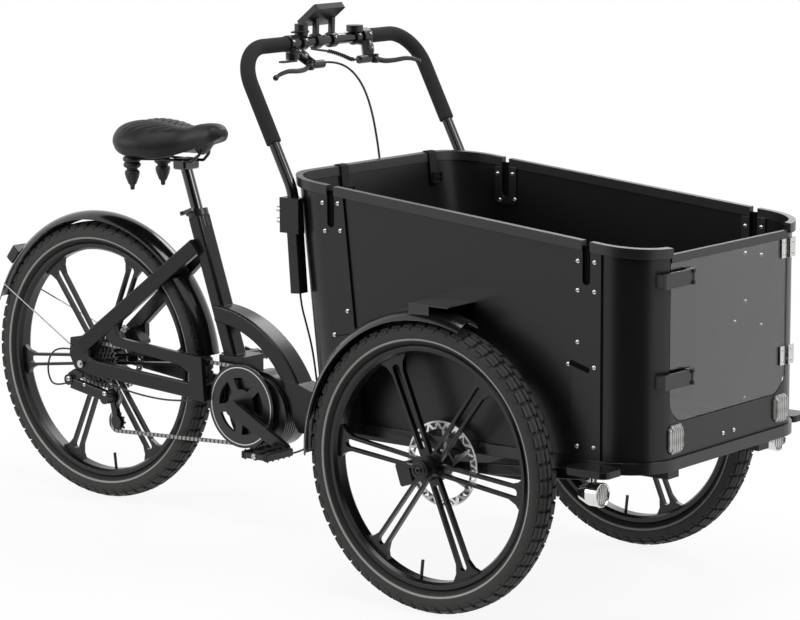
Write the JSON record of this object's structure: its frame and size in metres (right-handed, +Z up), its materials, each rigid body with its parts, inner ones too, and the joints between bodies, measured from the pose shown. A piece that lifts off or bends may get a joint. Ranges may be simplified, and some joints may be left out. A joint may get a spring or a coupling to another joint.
{
  "type": "front-loading cargo tricycle",
  "caption": "Tricycle with a steered front cargo box between two small wheels, pedal drive with a mid motor to a larger rear wheel, and a tall bent handlebar fixed to the box.",
  "frame": {"origin": "on the ground, midway along the overall length, on the centre plane of the tricycle", "axes": "+X forward, towards the box door; +Y to the rider's left; +Z up"},
  "size_m": [2.1083, 0.824, 1.2097],
  "materials": {
    "frame_black": "satin black paint",
    "gloss_black": "gloss black paint",
    "cast_black": "satin black paint on cast aluminium",
    "motor_black": "black anodised casting",
    "dark_metal": "black anodised",
    "lever_metal": "dark anodised",
    "steel": "zinc plated",
    "screw_steel": "stainless screw heads",
    "hinge_steel": "brushed stainless",
    "rotor_steel": "ground steel disc",
    "chain_steel": "oiled steel",
    "tyre": "matte rubber with a pale sidewall stripe",
    "panel_grey": "satin dark grey sheet",
    "tray_black": "black moulding",
    "edging": "black edge strip",
    "dark_plastic": "black plastic",
    "pedal_plastic": "moulded plastic",
    "saddle_cover": "black vinyl cover",
    "elastomer": "moulded elastomer",
    "foam": "closed-cell foam",
    "webbing": "woven webbing",
    "cable": "sleeved cable",
    "lamp_red": "red lens on a black base",
    "lamp_chrome": "bright metal lamp",
    "reflector_clear": "clear prism plastic",
    "door_clear": "clear acrylic sheet"
  },
  "bodies": {
    "frame": {"main_frame": "frame_black", "rear_triangle": "frame_black", "head_bearings": "steel", "rear_fender": "gloss_black", "tail_light": "lamp_red", "motor_housing": "motor_black", "rear_axle": "steel", "rear_derailleur": "dark_metal", "rear_caliper": "dark_metal", "seat_clamp": "dark_metal", "chain": "chain_steel", "frame_cables": "cable"},
    "seat": {"seat_post": "dark_metal", "saddle": "saddle_cover", "saddle_suspension": "elastomer"},
    "clamp_lever": {"seat_clamp_lever": "dark_metal"},
    "rear_wheel_body": {"rear_tire": "tyre", "rear_wheel": "cast_black", "rear_rotor": "rotor_steel"},
    "cassette_body": {"cassette": "chain_steel"},
    "crank": {"crankset": "dark_metal", "chainring": "dark_metal"},
    "pedal_right_body": {"pedal_right": "pedal_plastic"},
    "pedal_left_body": {"pedal_left": "pedal_plastic"},
    "guide_pulley_body": {"guide_pulley": "pedal_plastic"},
    "tension_pulley_body": {"tension_pulley": "pedal_plastic"},
    "front": {"box_sides": "panel_grey", "box_front": "panel_grey", "box_rear": "panel_grey", "box_floor": "tray_black", "rim_trim": "edging", "box_screws": "screw_steel", "front_subframe": "frame_black", "handlebar": "gloss_black", "handlebar_clamps": "frame_black", "foam_grips": "foam", "lever_mounts": "dark_plastic", "bar_fittings": "dark_plastic", "front_calipers": "dark_metal", "front_fenders": "gloss_black", "headlights": "lamp_chrome", "reflectors": "reflector_clear", "straps": "webbing", "front_cables": "cable", "battery_case": "dark_plastic", "door_fittings": "hinge_steel"},
    "wheel_right": {"front_tire_right": "tyre", "front_wheel_right": "cast_black", "front_rotor_right": "rotor_steel"},
    "wheel_left": {"front_tire_left": "tyre", "front_wheel_left": "cast_black", "front_rotor_left": "rotor_steel"},
    "door": {"door_sheet": "door_clear", "door_hardware": "hinge_steel"},
    "latch_upper_body": {"latch_upper": "dark_plastic"},
    "latch_lower_body": {"latch_lower": "dark_plastic"},
    "brake_right": {"brake_lever_right": "lever_metal"},
    "brake_left": {"brake_lever_left": "lever_metal"},
    "shift": {"shift_lever": "dark_plastic"},
    "bell": {"bell_lever": "dark_plastic"}
  },
  "joints": [
    {"name": "steering", "type": "hinge", "parent": "frame", "child": "front", "pos_m": [0.3813, 0, 0.273], "axis": [0, 0, 1], "range_deg": [-35, 35]},
    {"name": "front_wheel_right_spin", "type": "hinge", "parent": "front", "child": "wheel_right", "pos_m": [0.5583, -0.372, 0.305], "axis": [0, 1, 0], "continuous": true},
    {"name": "front_wheel_left_spin", "type": "hinge", "parent": "front", "child": "wheel_left", "pos_m": [0.5583, 0.372, 0.305], "axis": [0, 1, 0], "continuous": true},
    {"name": "rear_wheel_spin", "type": "hinge", "parent": "frame", "child": "rear_wheel_body", "pos_m": [-0.7187, 0, 0.332], "axis": [0, 1, 0], "continuous": true},
    {"name": "crank_spin", "type": "hinge", "parent": "frame", "child": "crank", "pos_m": [-0.2407, 0, 0.283], "axis": [0, 1, 0], "continuous": true},
    {"name": "cassette_spin", "type": "hinge", "parent": "frame", "child": "cassette_body", "pos_m": [-0.7187, -0.0465, 0.332], "axis": [0, 1, 0], "continuous": true},
    {"name": "guide_pulley_spin", "type": "hinge", "parent": "frame", "child": "guide_pulley_body", "pos_m": [-0.6497, -0.0465, 0.256], "axis": [0, 1, 0], "continuous": true},
    {"name": "tension_pulley_spin", "type": "hinge", "parent": "frame", "child": "tension_pulley_body", "pos_m": [-0.6357, -0.0465, 0.197], "axis": [0, 1, 0], "continuous": true},
    {"name": "pedal_right_spin", "type": "hinge", "parent": "crank", "child": "pedal_right_body", "pos_m": [-0.08791, -0.139, 0.20848], "axis": [0, 1, 0], "continuous": true},
    {"name": "pedal_left_spin", "type": "hinge", "parent": "crank", "child": "pedal_left_body", "pos_m": [-0.39349, 0.139, 0.35752], "axis": [0, 1, 0], "continuous": true},
    {"name": "seat_height", "type": "slide", "parent": "frame", "child": "seat", "axis": [-0.3211, 0, 0.9471], "range_m": [-0.06, 0.1]},
    {"name": "seat_clamp_lever_swing", "type": "hinge", "parent": "frame", "child": "clamp_lever", "pos_m": [-0.44044, -0.0204, 0.70762], "axis": [0.3211, 0, -0.9471], "range_deg": [0, 120]},
    {"name": "door_swing", "type": "hinge", "parent": "front", "child": "door", "pos_m": [1.041, 0.2195, 0.6], "axis": [0, 0, 1], "range_deg": [0, 160]},
    {"name": "latch_upper_swing", "type": "hinge", "parent": "door", "child": "latch_upper_body", "pos_m": [1.0468, -0.155, 0.719], "axis": [0, 0, 1], "range_deg": [0, 110]},
    {"name": "latch_lower_swing", "type": "hinge", "parent": "door", "child": "latch_lower_body", "pos_m": [1.0468, -0.155, 0.517], "axis": [0, 0, 1], "range_deg": [0, 110]},
    {"name": "brake_lever_right_pull", "type": "hinge", "parent": "front", "child": "brake_right", "pos_m": [0.0253, -0.112, 1.08], "axis": [0, 0, -1], "range_deg": [0, 18], "stiffness_Nm_per_rad": 1.5},
    {"name": "brake_lever_left_pull", "type": "hinge", "parent": "front", "child": "brake_left", "pos_m": [0.0253, 0.112, 1.08], "axis": [0, 0, 1], "range_deg": [0, 18], "stiffness_Nm_per_rad": 1.5},
    {"name": "shift_lever_push", "type": "hinge", "parent": "front", "child": "shift", "pos_m": [0.0093, -0.152, 1.093], "axis": [0, 0, -1], "range_deg": [0, 25], "stiffness_Nm_per_rad": 0.6},
    {"name": "bell_lever_flick", "type": "hinge", "parent": "front", "child": "bell", "pos_m": [-0.0197, -0.088, 1.15], "axis": [0, 0, 1], "range_deg": [0, 35], "stiffness_Nm_per_rad": 0.3}
  ],
  "couplings": [
    {"joint": "cassette_spin", "follows": "crank_spin", "ratio": 1.8333},
    {"joint": "guide_pulley_spin", "follows": "crank_spin", "ratio": -4},
    {"joint": "tension_pulley_spin", "follows": "crank_spin", "ratio": 4}
  ]
}
